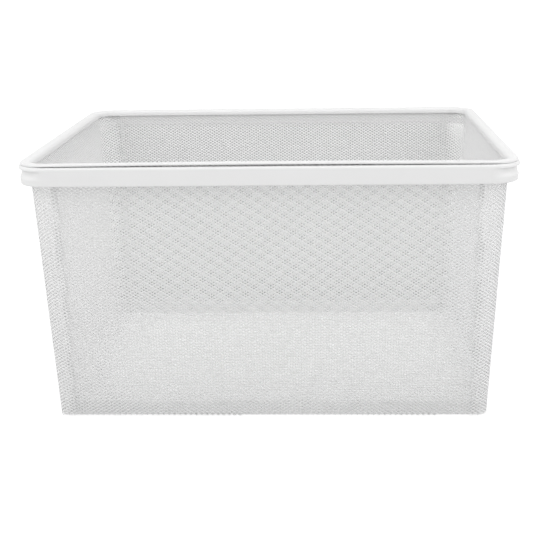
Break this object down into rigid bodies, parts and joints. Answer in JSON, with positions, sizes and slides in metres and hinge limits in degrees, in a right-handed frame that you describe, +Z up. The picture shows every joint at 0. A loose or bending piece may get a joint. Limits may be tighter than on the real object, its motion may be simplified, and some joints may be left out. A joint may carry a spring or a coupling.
{
  "type": "wire mesh drawer basket",
  "caption": "Open-top drawer basket of expanded metal: tapered mesh walls and floor, hung from an overhanging rolled sheet rim.",
  "frame": {"origin": "on the resting plane, under the middle of the basket", "axes": "+X along the width, towards the right as seen from the front; -Y out of the front; +Z up"},
  "size_m": [0.54, 0.432, 0.298],
  "materials": {
    "rim_coat": "satin white powder coat",
    "mesh_coat": "satin white powder coat"
  },
  "bodies": {
    "root": {"rim_band": "rim_coat", "rim_strip": "rim_coat", "front_mesh_panel": "mesh_coat", "back_mesh_panel": "mesh_coat", "left_mesh_panel": "mesh_coat", "right_mesh_panel": "mesh_coat", "floor_mesh_pan": "mesh_coat"}
  },
  "joints": []
}
